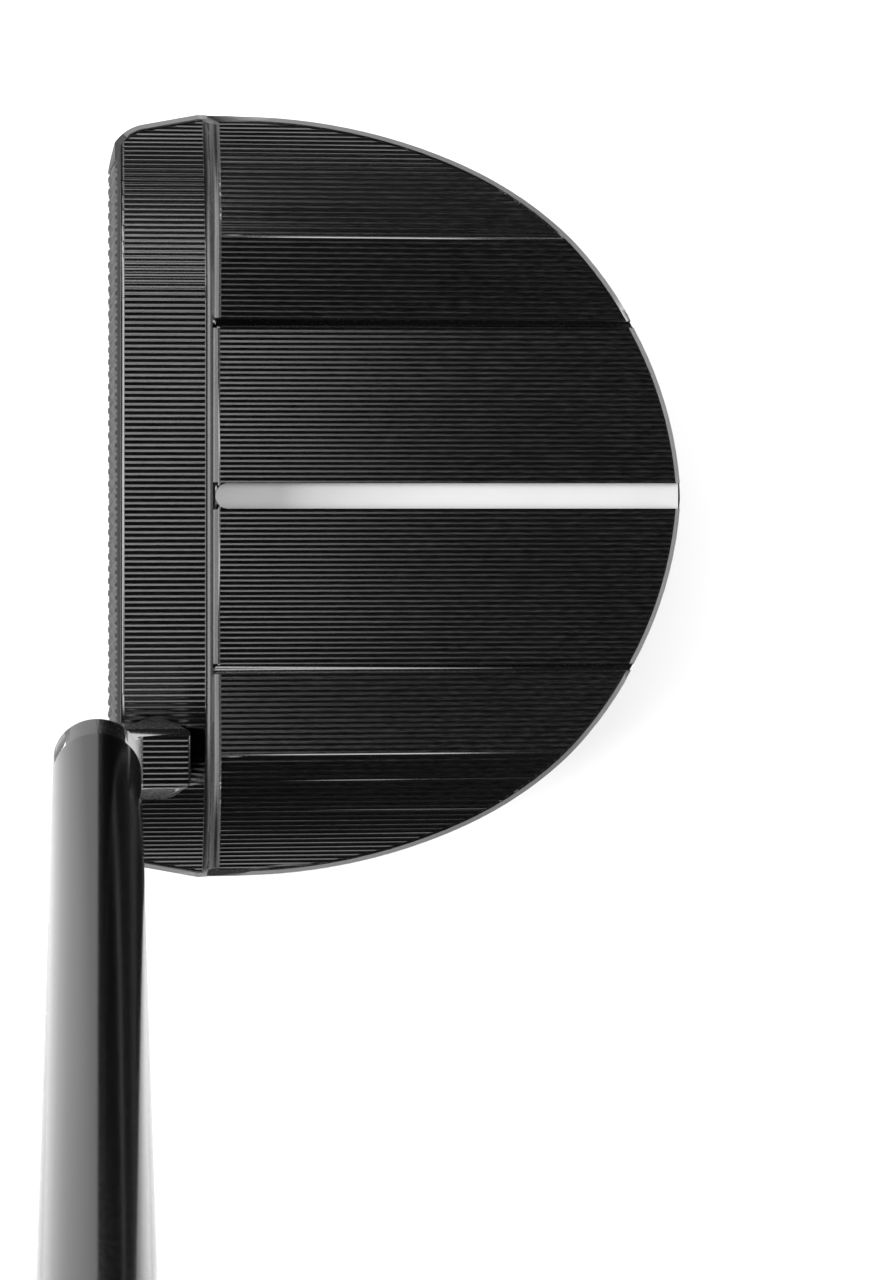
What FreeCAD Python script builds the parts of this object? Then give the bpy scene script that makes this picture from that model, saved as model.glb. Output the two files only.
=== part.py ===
"""Mallet putter: a milled head on a crank-neck, a stepped steel shaft and a two-layer grip.

Frame: millimetres, +Z up, +X from the face to the rear of the head, +Y from heel to toe.
The origin is on the ground under the sight line, in the middle of the flat sole.
The shaft leans towards the heel (-Y) at the lie angle.
"""
import FreeCAD, Part
import math
import os

from FreeCAD import Placement, Rotation, Vector

doc = FreeCAD.newDocument("mallet_putter")

# ---------------------------------------------------------------- driving dimensions
DIMENSIONS = {
    # head, plan view
    "face_x": -35.7, "head_half_width": 47.6, "corner_start_x": -24.5, "corner_end_x": -31.7,
    "corner_y": 46.2, "corner_bulge": 0.97, "face_half_width": 41.3, "rear_x": 36.3,
    "nose_radius": 11.0, "nose_sweep": 3.5,
    "rear_radius": 48.4, "rear_sweep": 60.8, "shoulder_radius": 64.5,
    # head, heights
    "topline_top": 25.0, "topline_rear_x": -23.0, "topline_flat_half": 24.0, "crown_radius": 16.0,
    "crown_slope": 14.0, "crown_outer_radius": 46.0,
    "loft": 3.0, "deck_top": 15.8, "wing_y": 21.9, "wing_step": 2.7, "ridge_y": 32.0,
    "wing_rise": 6.4, "wing_radius": 30.0, "wing_slope": 7.0, "wing_fall": 2.0,
    "wing_sketch_x": -23.77,
    # grooves and sight line
    "groove_width": 0.76, "groove_depth": 1.0, "groove_front_x": -22.4, "sight_width": 3.175,
    "sight_depth": 1.0, "sight_front_x": -22.33, "paint_thickness": 0.3,
    # sole
    "sole_flat_half": 33.0, "camber_radius": 52.0, "relief_x": 25.0, "relief_height": 2.4,
    "lead_relief": 1.2, "plate_front_x": -20.0, "plate_rear_x": 24.0, "plate_half_width": 27.0,
    "plate_corner": 7.0, "plate_thickness": 3.0, "pad_thickness": 0.8, "plate_screw_x": 18.0,
    "plate_screw_y": 21.0, "screw_radius": 1.5, "screw_head_radius": 2.7, "screw_length": 8.0,
    "screw_recess": 0.3,
    # weights in the sole
    "weight_x": -8.0, "weight_y": 37.0, "weight_radius": 7.0, "weight_base": 1.6,
    "weight_height": 7.2, "washer_thickness": 0.6, "washer_bore": 4.5, "slot_width": 2.0,
    "slot_depth": 1.5,
    # neck
    "neck_x": -30.2, "neck_y": -31.8, "spigot_radius": 4.0, "spigot_length": 12.0, "neck_top": 38.8,
    "base_front_x": -34.3, "base_rear_x": -25.7, "base_toe_y": -27.05, "base_heel_y": -36.7,
    "base_corner": 3.6, "riser_rear_x": -26.16, "riser_heel_y": -33.9, "riser_corner": 0.8,
    "bridge_bottom": 30.0, "bridge_step": 0.6, "bridge_overlap": 2.0,
    "bridge_radius": 3.9, "bolt_radius": 2.5, "bolt_head_radius": 4.0,
    "bolt_head_height": 4.0, "bolt_base": 0.8, "bolt_tip": 21.5, "socket_radius": 2.3,
    "socket_depth": 2.2,
    # shaft, measured along its own axis from the tip
    "lie": 70.0, "shaft_x": -37.0, "shaft_y": -32.0, "shaft_z": 41.0, "boss_length": 4.0,
    "shaft_tip_radius": 5.08, "shaft_wall": 0.55, "shaft_length": 820.0, "tenon_radius": 4.42,
    "tenon_length": 28.0, "glue_setback": 2.0, "first_step": 165.0, "step_pitch": 45.0, "step_count": 8.0,
    "step_rise": 0.3175, "step_length": 0.6,
    # grip, measured along the shaft axis
    "grip_start": 560.0, "grip_end": 822.0, "tape_thickness": 0.25, "mouth_ring_length": 6.0,
    "cap_thickness": 5.0, "cover_thickness": 1.6, "grip_mouth_radius": 10.2, "grip_waist_radius": 11.2,
    "grip_butt_radius": 13.4, "mouth_flat": 9.6, "waist_flat": 9.6, "butt_flat": 9.9,
    "waist_place": 0.55,
}

dims = doc.addObject("Spreadsheet::Sheet", "dims")
for row, (alias, value) in enumerate(DIMENSIONS.items(), start=1):
    dims.set(f"A{row}", alias)
    dims.set(f"B{row}", str(value))
    dims.setAlias(f"B{row}", alias)
doc.recompute()


def size(alias):
    """A driving dimension's value."""
    return float(dims.get(alias))


def bound(obj, **expressions):
    """Tie properties to the sheet; a double underscore in a name stands for a dot."""
    for prop, expression in expressions.items():
        obj.setExpression(prop.replace("__", "."), expression)


# ---------------------------------------------------------------- modelling helpers
SUBPARTS = []


def kept(obj, label):
    """Name a finished sub-part; its label is its file's name."""
    obj.Label = label
    SUBPARTS.append(obj)
    return obj


def new_body(label):
    return kept(doc.addObject("PartDesign::Body", label + "_body"), label)


def new_sketch(body, plane, edges, offset=None):
    """A sketch of the given edges on one of the body's origin planes; offset is an expression."""
    sketch = body.newObject("Sketcher::SketchObject", "sketch")
    origin_plane = [f for f in body.Origin.OriginFeatures if f.Role == plane][0]
    sketch.AttachmentSupport = [(origin_plane, "")]
    sketch.MapMode = "FlatFace"
    if offset:
        bound(sketch, AttachmentOffset__Base__z=offset)
    for edge in edges:
        sketch.addGeometry(edge, False)
    return sketch


def pad(body, sketch, length, both=False, reverse=False):
    feature = body.newObject("PartDesign::Pad", "pad")
    feature.Profile = sketch
    feature.Midplane = both
    feature.Reversed = reverse
    bound(feature, Length=length)
    return feature


def pocket(body, sketch, length, both=False, reverse=False):
    """Cut the sketch's area out of the body, and make sure that the cut took something away."""
    doc.recompute()
    before = body.Shape.Volume
    feature = body.newObject("PartDesign::Pocket", "pocket")
    feature.Profile = sketch
    feature.Midplane = both
    feature.Reversed = reverse
    bound(feature, Length=length)
    doc.recompute()
    if body.Shape.Volume >= before - 1e-6:
        raise RuntimeError(f"{body.Label}: {sketch.Name} cuts nothing")
    return feature


def polygon(points):
    """Straight edges round a closed list of (x, y) points."""
    corners = [Vector(x, y, 0) for x, y in points]
    return [Part.LineSegment(a, b) for a, b in zip(corners, corners[1:] + corners[:1])]


def circle(x, y, radius):
    return Part.Circle(Vector(x, y, 0), Vector(0, 0, 1), radius)


def arc(x, y, radius, start, end):
    """An arc about (x, y) from start to end, in degrees, anticlockwise."""
    return Part.ArcOfCircle(circle(x, y, radius), math.radians(start), math.radians(end))


def polar(x, y, radius, angle):
    return (x + radius * math.cos(math.radians(angle)), y + radius * math.sin(math.radians(angle)))


def line(start, end):
    return Part.LineSegment(Vector(start[0], start[1], 0), Vector(end[0], end[1], 0))


def rounded_rectangle(low_x, high_x, low_y, high_y, corner):
    """Four sides and four round corners, anticlockwise from the lower side."""
    left, right = low_x + corner, high_x - corner
    lower, upper = low_y + corner, high_y - corner
    return [
        line((left, low_y), (right, low_y)),
        arc(right, lower, corner, -90, 0),
        line((high_x, lower), (high_x, upper)),
        arc(right, upper, corner, 0, 90),
        line((right, high_y), (left, high_y)),
        arc(left, upper, corner, 90, 180),
        line((low_x, upper), (low_x, lower)),
        arc(left, lower, corner, 180, 270),
    ]


def round_ended_slot(front_x, rear_x, y, width):
    """A slot along +X with a half-round front end, open at the rear."""
    half = width / 2
    return [
        arc(front_x + half, y, half, 90, 270),
        line((front_x + half, y - half), (rear_x, y - half)),
        line((rear_x, y - half), (rear_x, y + half)),
        line((rear_x, y + half), (front_x + half, y + half)),
    ]


def turned(label, profile, placement=None):
    """A body of revolution about its own Z axis from a closed (radius, height) profile."""
    body = new_body(label)
    revolution_sketch = new_sketch(body, "XZ_Plane", polygon(profile))
    feature = body.newObject("PartDesign::Revolution", "revolution")
    feature.Profile = revolution_sketch
    feature.ReferenceAxis = (revolution_sketch, ["V_Axis"])
    feature.Angle = 360
    if placement:
        body.Placement = placement
    return body


def mirrored_y(edges):
    """The same edges and their mirror images across the sight line, in a plan sketch."""
    flip = FreeCAD.Matrix()
    flip.scale(1, -1, 1)
    images = [edge.copy() for edge in edges]
    for image in images:
        image.transform(flip)
    return edges + images


MARGIN = 10.0      # how far a cutting profile runs past the metal
FREE_FIT = 0.1     # gap all round a piece that drops into its seat
SCREW_FIT = 0.15   # the same round a screw
SHAFT_FRAME = Placement(
    Vector(size("shaft_x"), size("shaft_y"), size("shaft_z")),
    Rotation(Vector(1, 0, 0), 90 - size("lie")),
)
SIDES = {"toe": 1, "heel": -1}


# ---------------------------------------------------------------- outlines of the head
def plan_outline():
    """The head seen from above: straight face, small toe and heel corners, round rear."""
    face_x = size("face_x")
    corner_start, corner_end = size("corner_start_x"), size("corner_end_x")
    nose, rear, shoulder = size("nose_radius"), size("rear_radius"), size("shoulder_radius")
    first_turn = size("nose_sweep")
    second_turn = first_turn + size("rear_sweep")
    nose_centre = (size("rear_x") - nose, 0)
    rear_centre = polar(*nose_centre, nose - rear, first_turn)
    shoulder_centre = polar(*rear_centre, rear - shoulder, second_turn)
    top = shoulder_centre[1] + shoulder
    run = Vector(face_x - corner_end, size("face_half_width") - size("corner_y"), 0)
    outward = Vector(run.y, -run.x, 0).normalize() * size("corner_bulge")
    corner_mid = Vector(corner_end, size("corner_y"), 0) + run / 2 + outward
    upper = [
        arc(*nose_centre, nose, 0, first_turn),
        arc(*rear_centre, rear, first_turn, second_turn),
        arc(*shoulder_centre, shoulder, second_turn, 90),
        line((shoulder_centre[0], top), (corner_start, top)),
        line((corner_start, top), (corner_end, size("corner_y"))),
        Part.Arc(
            Vector(corner_end, size("corner_y"), 0),
            corner_mid,
            Vector(face_x, size("face_half_width"), 0),
        ),
    ]
    front = line((face_x, size("face_half_width")), (face_x, -size("face_half_width")))
    return mirrored_y(upper) + [front]


def falling_arcs(side, start, start_slope, arcs):
    """Tangent arcs that fall outwards from a point (y, z), as sketch edges for one side.

    Each arc is (radius, slope at its end in degrees); an end slope of None runs the arc just past
    the side of the head. The last point comes back with the edges.
    """
    (y, z), slope = start, start_slope
    edges = []
    for radius, end_slope in arcs:
        centre_y = y - radius * math.sin(math.radians(slope))
        centre_z = z - radius * math.cos(math.radians(slope))
        if end_slope is None:
            end_slope = math.degrees(math.asin((size("head_half_width") + 1 - centre_y) / radius))
        if side > 0:
            edges.append(arc(centre_y, centre_z, radius, 90 - end_slope, 90 - slope))
        else:
            edges.append(arc(-centre_y, centre_z, radius, 90 + slope, 90 + end_slope))
        y, z = polar(centre_y, centre_z, radius, 90 - end_slope)
        slope = end_slope
    return edges, (side * y, z)


def crown_side(side):
    """The topline's fall from its flat towards one end."""
    return falling_arcs(side, (size("topline_flat_half"), size("topline_top")), 0, [
        (size("crown_radius"), size("crown_slope")),
        (size("crown_outer_radius"), None),
    ])


def wing_region(side):
    """The area above one wing: a step up from the panel, a rise to the ridge, a falling arc."""
    foot = (side * size("wing_y"), size("deck_top") + size("wing_step"))
    rise = (size("ridge_y") - size("wing_y")) * math.tan(math.radians(size("wing_rise")))
    ridge = (side * size("ridge_y"), foot[1] + rise)
    arcs, end = falling_arcs(side, (size("ridge_y"), ridge[1]), size("wing_slope"),
                             [(size("wing_radius"), None)])
    roof = size("topline_top") + MARGIN
    return [line(foot, ridge)] + arcs + [
        line(end, (end[0], roof)),
        line((end[0], roof), (foot[0], roof)),
        line((foot[0], roof), foot),
    ]


def crown_region():
    """The closed area above the topline."""
    toe_edges, toe_end = crown_side(1)
    heel_edges, heel_end = crown_side(-1)
    half_flat, height = size("topline_flat_half"), size("topline_top")
    roof = height + MARGIN
    return toe_edges + heel_edges + [
        line((-half_flat, height), (half_flat, height)),
        line(toe_end, (toe_end[0], roof)),
        line((toe_end[0], roof), (heel_end[0], roof)),
        line((heel_end[0], roof), heel_end),
    ]


# ---------------------------------------------------------------- head body
def build_head_body():
    body = new_body("head_body")
    pad(body, new_sketch(body, "XY_Plane", plan_outline()), "dims.topline_top")

    # the panel, one ball wide, behind the topline; the wings stand above it and fall to the rear
    panel = polygon([(size("topline_rear_x"), -size("wing_y")), (size("rear_x") + MARGIN, -size("wing_y")),
                     (size("rear_x") + MARGIN, size("wing_y")), (size("topline_rear_x"), size("wing_y"))])
    pocket(body, new_sketch(body, "XY_Plane", panel, "dims.deck_top"), "dims.topline_top", reverse=True)
    for side in SIDES.values():
        wing_sketch = new_sketch(body, "YZ_Plane", wing_region(side), "dims.wing_sketch_x")
        bound(wing_sketch, AttachmentOffset__Rotation__Angle="dims.wing_fall")
        wing_sketch.AttachmentOffset = Placement(
            Vector(0, 0, size("wing_sketch_x")), Rotation(Vector(1, 0, 0), size("wing_fall")))
        pocket(body, wing_sketch, "dims.rear_x - dims.topline_rear_x + 10", reverse=True)

    # the topline's rounded fall to the toe and to the heel
    crown_sketch = new_sketch(body, "YZ_Plane", crown_region(), "dims.topline_rear_x + 1")
    pocket(body, crown_sketch, "dims.topline_rear_x - dims.face_x + 10")

    # the face leans back by the loft; its lower edge is relieved
    lean = size("topline_top") * math.tan(math.radians(size("loft")))
    front = size("face_x")
    face_cut = polygon([
        (front, 0),
        (front + lean, size("topline_top")),
        (front + lean, size("topline_top") + MARGIN),
        (front - MARGIN, size("topline_top") + MARGIN),
        (front - MARGIN, 0),
    ])
    pocket(body, new_sketch(body, "XZ_Plane", face_cut), "2 * dims.head_half_width + 10", both=True)
    lead = size("lead_relief")
    lead_cut = polygon([(front - MARGIN, -MARGIN), (front + 2 * lead, -MARGIN), (front + 2 * lead, 0),
                        (front, lead), (front - MARGIN, lead)])
    pocket(body, new_sketch(body, "XZ_Plane", lead_cut), "2 * dims.head_half_width + 10", both=True)

    # the sole lifts towards the rear and is cambered outside its flat
    rear, relief = size("rear_x") + MARGIN, size("relief_height")
    run = size("rear_x") - size("relief_x")
    rear_cut = polygon([(size("relief_x"), 0), (rear, relief * (rear - size("relief_x")) / run),
                        (rear, -MARGIN), (size("relief_x"), -MARGIN)])
    pocket(body, new_sketch(body, "XZ_Plane", rear_cut), "2 * dims.head_half_width + 10", both=True)
    radius, flat = size("camber_radius"), size("sole_flat_half")
    reach = size("head_half_width") + 1 - flat
    turn = math.degrees(math.asin(reach / radius))
    for side in SIDES.values():
        end = (side * (flat + reach), radius - radius * math.cos(math.radians(turn)))
        start, finish = (270, 270 + turn) if side > 0 else (270 - turn, 270)
        camber = [
            arc(side * flat, radius, radius, start, finish),
            line(end, (end[0], -MARGIN)),
            line((end[0], -MARGIN), (side * flat, -MARGIN)),
            line((side * flat, -MARGIN), (side * flat, 0)),
        ]
        camber_sketch = new_sketch(body, "YZ_Plane", camber)
        pocket(body, camber_sketch, "4 * dims.rear_x", both=True)

    # two grooves and the sight line, open at the rear
    rear_end = size("rear_x") + MARGIN
    grooves = []
    for side in SIDES.values():
        y = side * (size("wing_y") - size("groove_width") / 2)
        grooves += round_ended_slot(size("groove_front_x"), rear_end, y, size("groove_width"))
    groove_sketch = new_sketch(body, "XY_Plane", grooves, "dims.deck_top - dims.groove_depth")
    pocket(body, groove_sketch, "dims.topline_top", reverse=True)
    sight = round_ended_slot(size("sight_front_x"), rear_end, 0, size("sight_width"))
    sight_sketch = new_sketch(body, "XY_Plane", sight, "dims.deck_top - dims.sight_depth")
    pocket(body, sight_sketch, "dims.topline_top", reverse=True)

    # the neck's spigot bore, with its bolt's clearance hole and counterbore
    neck = (size("neck_x"), size("neck_y"))
    bore_sketch = new_sketch(body, "XY_Plane", [circle(*neck, size("spigot_radius"))], "dims.topline_top")
    pocket(body, bore_sketch, "dims.spigot_length")
    hole_edges = [circle(*neck, size("bolt_radius") + SCREW_FIT)]
    bolt_hole = new_sketch(body, "XY_Plane", hole_edges, "dims.topline_top")
    pocket(body, bolt_hole, "dims.topline_top")
    head_hole = new_sketch(body, "XY_Plane", [circle(*neck, size("bolt_head_radius") + SCREW_FIT)])
    pocket(body, head_hole, "dims.bolt_base + dims.bolt_head_height", reverse=True)

    # the sole plate's recess and its four tapped holes
    recess_sketch = new_sketch(body, "XY_Plane", plate_outline())
    pocket(body, recess_sketch, "dims.plate_thickness + dims.pad_thickness", reverse=True)
    taps = [circle(x, y, size("screw_radius")) for x, y in plate_screw_places()]
    pocket(body, new_sketch(body, "XY_Plane", taps), "dims.screw_length + 1", reverse=True)

    # one bore for the weight at the toe and one at the heel
    bores = [circle(size("weight_x"), side * size("weight_y"), size("weight_radius"))
             for side in SIDES.values()]
    weight_sketch = new_sketch(body, "XY_Plane", bores)
    pocket(body, weight_sketch, "dims.weight_base + dims.weight_height + dims.washer_thickness",
           reverse=True)
    return body


def plate_outline(gap=0.0):
    """The sole plate's outline, smaller than its recess by the gap."""
    half = size("plate_half_width") - gap
    return rounded_rectangle(size("plate_front_x") + gap, size("plate_rear_x") - gap, -half, half,
                             size("plate_corner") - gap)


def plate_screw_places():
    """The four corners where the sole plate is screwed to the body."""
    middle = (size("plate_front_x") + size("plate_rear_x")) / 2
    reach = size("plate_screw_x") - middle
    return [(middle + a * reach, b * size("plate_screw_y")) for a in (-1, 1) for b in (-1, 1)]


def build_sight_line_paint():
    """The white filling that lies on the floor of the sight line."""
    body = new_body("sight_line_paint")
    edges = round_ended_slot(size("sight_front_x"), size("rear_x") - size("paint_thickness"), 0,
                             size("sight_width"))
    pad(body, new_sketch(body, "XY_Plane", edges, "dims.deck_top - dims.sight_depth"), "dims.paint_thickness")
    return body


# ---------------------------------------------------------------- sole
def build_sole_plate():
    body = new_body("sole_plate")
    pad(body, new_sketch(body, "XY_Plane", plate_outline(FREE_FIT)), "dims.plate_thickness")
    holes = [circle(x, y, size("screw_radius") + SCREW_FIT) for x, y in plate_screw_places()]
    pocket(body, new_sketch(body, "XY_Plane", holes), "dims.plate_thickness", reverse=True)
    heads = [circle(x, y, size("screw_head_radius") + SCREW_FIT) for x, y in plate_screw_places()]
    counterbores = new_sketch(body, "XY_Plane", heads)
    pocket(body, counterbores, "dims.plate_thickness / 2 + dims.screw_recess", reverse=True)
    return body


def build_damping_pad():
    """The elastomer sheet squeezed between the sole plate and the body."""
    body = new_body("damping_pad")
    pad(body, new_sketch(body, "XY_Plane", plate_outline(FREE_FIT), "dims.plate_thickness"),
        "dims.pad_thickness")
    holes = [circle(x, y, size("screw_radius") + SCREW_FIT) for x, y in plate_screw_places()]
    hole_sketch = new_sketch(body, "XY_Plane", holes, "dims.plate_thickness")
    pocket(body, hole_sketch, "dims.pad_thickness", reverse=True)
    return body


def socket_head_screw(name, place, head_radius, head_height, shank_radius, tip, base, socket):
    """A screw that points up: flat head, plain shank, hexagon socket in its underside."""
    x, y = place
    head = doc.addObject("Part::Cylinder", name + "_head")
    bound(head, Radius=head_radius, Height=head_height)
    bound(head, Placement__Base__z=base)
    shank = doc.addObject("Part::Cylinder", name + "_shank")
    bound(shank, Radius=shank_radius, Height=f"{tip} - ({base})")
    bound(shank, Placement__Base__z=base)
    recess = doc.addObject("Part::Prism", name + "_socket")
    recess.Polygon = 6
    bound(recess, Circumradius=socket[0], Height=socket[1])
    bound(recess, Placement__Base__z=base)
    solid = doc.addObject("Part::Fuse", name + "_solid")
    solid.Base = head
    solid.Tool = shank
    screw = doc.addObject("Part::Cut", name)
    screw.Base = solid
    screw.Tool = recess
    screw.Placement = Placement(Vector(x, y, 0), Rotation())
    return screw


def build_sole_plate_screws():
    """Four identical low-head screws through the sole plate."""
    screws = []
    for number, place in enumerate(plate_screw_places(), start=1):
        screws.append(socket_head_screw(
            f"plate_screw_{number}", place, "dims.screw_head_radius", "dims.plate_thickness / 2",
            "dims.screw_radius", "dims.screw_length", "dims.screw_recess",
            ("dims.screw_radius * 0.75", "dims.plate_thickness * 0.35")))
    group = doc.addObject("Part::Compound", "plate_screws")
    group.Links = screws
    return kept(group, "sole_plate_screws")


def build_neck_bolt():
    """The bolt that draws the neck's spigot down into the body from the sole."""
    bolt = socket_head_screw(
        "neck_bolt_cut", (size("neck_x"), size("neck_y")), "dims.bolt_head_radius", "dims.bolt_head_height",
        "dims.bolt_radius", "dims.bolt_tip", "dims.bolt_base", ("dims.socket_radius", "dims.socket_depth"))
    return kept(bolt, "neck_bolt")


def build_weight(side_name, side):
    """A threaded tungsten slug, slotted across its outer face."""
    slug = doc.addObject("Part::Cylinder", side_name + "_slug")
    bound(slug, Radius="dims.weight_radius", Height="dims.weight_height")
    slot = doc.addObject("Part::Box", side_name + "_weight_slot")
    bound(slot, Length="3 * dims.weight_radius", Width="dims.slot_width", Height="dims.slot_depth")
    bound(slot, Placement__Base__x="-1.5 * dims.weight_radius", Placement__Base__y="-dims.slot_width / 2")
    weight = doc.addObject("Part::Cut", side_name + "_weight_cut")
    weight.Base = slug
    weight.Tool = slot
    bound(weight, Placement__Base__x="dims.weight_x", Placement__Base__y=f"{side} * dims.weight_y")
    bound(weight, Placement__Base__z="dims.weight_base")
    return kept(weight, side_name + "_weight")


def build_washer(side_name, side):
    """The soft washer that keeps a weight from rattling in its bore."""
    disc = doc.addObject("Part::Cylinder", side_name + "_disc")
    bound(disc, Radius="dims.weight_radius", Height="dims.washer_thickness")
    hole = doc.addObject("Part::Cylinder", side_name + "_disc_hole")
    bound(hole, Radius="dims.washer_bore", Height="dims.washer_thickness")
    washer = doc.addObject("Part::Cut", side_name + "_washer_cut")
    washer.Base = disc
    washer.Tool = hole
    bound(washer, Placement__Base__x="dims.weight_x", Placement__Base__y=f"{side} * dims.weight_y")
    bound(washer, Placement__Base__z="dims.weight_base + dims.weight_height")
    return kept(washer, side_name + "_weight_washer")


# ---------------------------------------------------------------- neck and shaft
def build_plumber_neck():
    """Spigot, riser that narrows upwards, bridge with a half-round front, tilted boss and tenon."""
    riser = doc.addObject("PartDesign::Body", "neck_riser")
    foot = new_sketch(riser, "XY_Plane", rounded_rectangle(
        size("base_front_x"), size("base_rear_x"), size("base_heel_y"), size("base_toe_y"),
        size("base_corner")), "dims.topline_top")
    crest = new_sketch(riser, "XY_Plane", rounded_rectangle(
        size("base_front_x"), size("riser_rear_x"), size("riser_heel_y"), size("base_toe_y"),
        size("riser_corner")), "dims.neck_top")
    loft = riser.newObject("PartDesign::AdditiveLoft", "riser_loft")
    loft.Profile = foot
    loft.Sections = [crest]
    loft.Ruled = True

    bridge = doc.addObject("PartDesign::Body", "neck_bridge")
    middle = size("base_toe_y") - size("bridge_radius")
    half = size("bridge_radius")
    front = size("shaft_x")
    joint = size("base_front_x") + size("bridge_overlap")
    span = [
        arc(front, middle, half, 90, 270),
        line((front, middle - half), (joint, middle - half)),
        line((joint, middle - half), (joint, middle + half)),
        line((joint, middle + half), (front, middle + half)),
    ]
    span_sketch = new_sketch(bridge, "XY_Plane", span, "dims.bridge_bottom")
    pad(bridge, span_sketch, "dims.neck_top - dims.bridge_bottom - dims.bridge_step")

    boss = doc.addObject("Part::Cylinder", "neck_boss")
    bound(boss, Radius="dims.shaft_tip_radius", Height="dims.boss_length")
    boss.Placement = SHAFT_FRAME.multiply(Placement(Vector(0, 0, -size("boss_length")), Rotation()))
    tenon = doc.addObject("Part::Cylinder", "neck_tenon")
    bound(tenon, Radius="dims.tenon_radius", Height="dims.tenon_length + dims.boss_length")
    tenon.Placement = boss.Placement
    spigot = doc.addObject("Part::Cylinder", "neck_spigot")
    bound(spigot, Radius="dims.spigot_radius", Height="dims.spigot_length + 2")
    bound(spigot, Placement__Base__x="dims.neck_x", Placement__Base__y="dims.neck_y")
    bound(spigot, Placement__Base__z="dims.topline_top - dims.spigot_length")

    solid = doc.addObject("Part::MultiFuse", "neck_solid")
    solid.Shapes = [riser, bridge, boss, tenon, spigot]
    thread = doc.addObject("Part::Cylinder", "neck_thread")
    bound(thread, Radius="dims.bolt_radius",
          Height="dims.bolt_tip - dims.topline_top + dims.spigot_length + 1")
    bound(thread, Placement__Base__x="dims.neck_x", Placement__Base__y="dims.neck_y")
    bound(thread, Placement__Base__z="dims.topline_top - dims.spigot_length")
    neck = doc.addObject("Part::Cut", "neck_cut")
    neck.Base = solid
    neck.Tool = thread
    return kept(neck, "plumber_neck")


def shaft_radius(height):
    """The shaft's outer radius at a distance from its tip."""
    steps = 0
    if height >= size("first_step"):
        steps = 1 + int((height - size("first_step")) / size("step_pitch"))
    return size("shaft_tip_radius") + min(steps, int(size("step_count"))) * size("step_rise")


def build_shaft():
    """A parallel tip, equal steps up to the butt, and the same wall thickness all along."""
    outer = [(size("shaft_tip_radius"), 0.0)]
    for number in range(int(size("step_count"))):
        height = size("first_step") + number * size("step_pitch")
        outer += [(outer[-1][0], height),
                  (outer[-1][0] + size("step_rise"), height + size("step_length"))]
    outer.append((outer[-1][0], size("shaft_length")))
    inner = [(radius - size("shaft_wall"), height) for radius, height in reversed(outer)]
    return turned("shaft", outer + inner, SHAFT_FRAME)


def build_shaft_epoxy():
    """The glue line between the neck's tenon and the bore of the shaft."""
    bore = size("shaft_tip_radius") - size("shaft_wall")
    top = size("tenon_length") - size("glue_setback")
    profile = [(size("tenon_radius"), 0), (bore, 0), (bore, top), (size("tenon_radius"), top)]
    return turned("shaft_epoxy", profile, SHAFT_FRAME)


# ---------------------------------------------------------------- grip
def grip_section(radius, flat):
    """A round grip section with a flat for the thumbs; flat is its distance from the axis."""
    reach = math.sqrt(radius ** 2 - flat ** 2)
    turn = math.degrees(math.atan2(flat, reach))
    return [
        line((reach, flat), (-reach, flat)),
        arc(0, 0, radius, 180 - turn, 360 + turn),
    ]


def grip_sections(inset=0.0):
    """Mouth, waist and butt sections of the grip: (height along the shaft, radius, thumb flat)."""
    start = size("grip_start") + size("mouth_ring_length")
    end = size("grip_end") - size("cap_thickness")
    waist = start + size("waist_place") * (end - start)
    stations = [(start, "grip_mouth_radius", "mouth_flat"), (waist, "grip_waist_radius", "waist_flat"),
                (end, "grip_butt_radius", "butt_flat")]
    return [(height, size(radius) - inset, size(flat) - inset) for height, radius, flat in stations]


def grip_layer(label, outer_inset, bore):
    """One layer of the grip: a loft through its sections, with a bore or a smaller loft cut out."""
    body = new_body(label)
    profiles = [new_sketch(body, "XY_Plane", grip_section(radius, flat), f"{height}")
                for height, radius, flat in grip_sections(outer_inset)]
    loft = body.newObject("PartDesign::AdditiveLoft", label + "_loft")
    loft.Profile = profiles[0]
    loft.Sections = profiles[1:]
    doc.recompute()
    if bore is None:
        inner = [new_sketch(body, "XY_Plane", grip_section(radius, flat), f"{height}")
                 for height, radius, flat in grip_sections(size("cover_thickness"))]
        hollow = body.newObject("PartDesign::SubtractiveLoft", label + "_hollow")
        hollow.Profile = inner[0]
        hollow.Sections = inner[1:]
    else:
        start = "dims.grip_start + dims.mouth_ring_length"
        pocket(body, new_sketch(body, "XY_Plane", [circle(0, 0, bore)], start),
               "dims.grip_end - dims.grip_start", reverse=True)
    body.Placement = SHAFT_FRAME
    return body


def build_grip():
    butt_radius = shaft_radius(size("shaft_length"))
    taped_radius = butt_radius + size("tape_thickness")
    start, end = size("grip_start"), size("grip_end")
    cap_base = end - size("cap_thickness")
    butt = size("shaft_length")

    turned("grip_tape", [(butt_radius, start + 1), (taped_radius, start + 1),
                         (taped_radius, cap_base - 1), (butt_radius, cap_base - 1)], SHAFT_FRAME)
    grip_layer("grip_underlisting", size("cover_thickness"), taped_radius)
    grip_layer("grip_cover", 0.0, None)

    ring_end = start + size("mouth_ring_length")
    mouth = size("grip_mouth_radius")
    turned("grip_mouth_ring", [(taped_radius, start), (mouth - 1.0, start), (mouth - 0.2, start + 1.0),
                               (mouth, ring_end), (taped_radius, ring_end)], SHAFT_FRAME)

    cap = grip_sections()[-1]
    body = new_body("grip_cap")
    pad(body, new_sketch(body, "XY_Plane", grip_section(cap[1], cap[2]), f"{cap_base}"),
        "dims.cap_thickness")
    seat = new_sketch(body, "XY_Plane", [circle(0, 0, butt_radius)], f"{cap_base}")
    pocket(body, seat, f"{butt - cap_base}", reverse=True)
    body.Placement = SHAFT_FRAME


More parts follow.
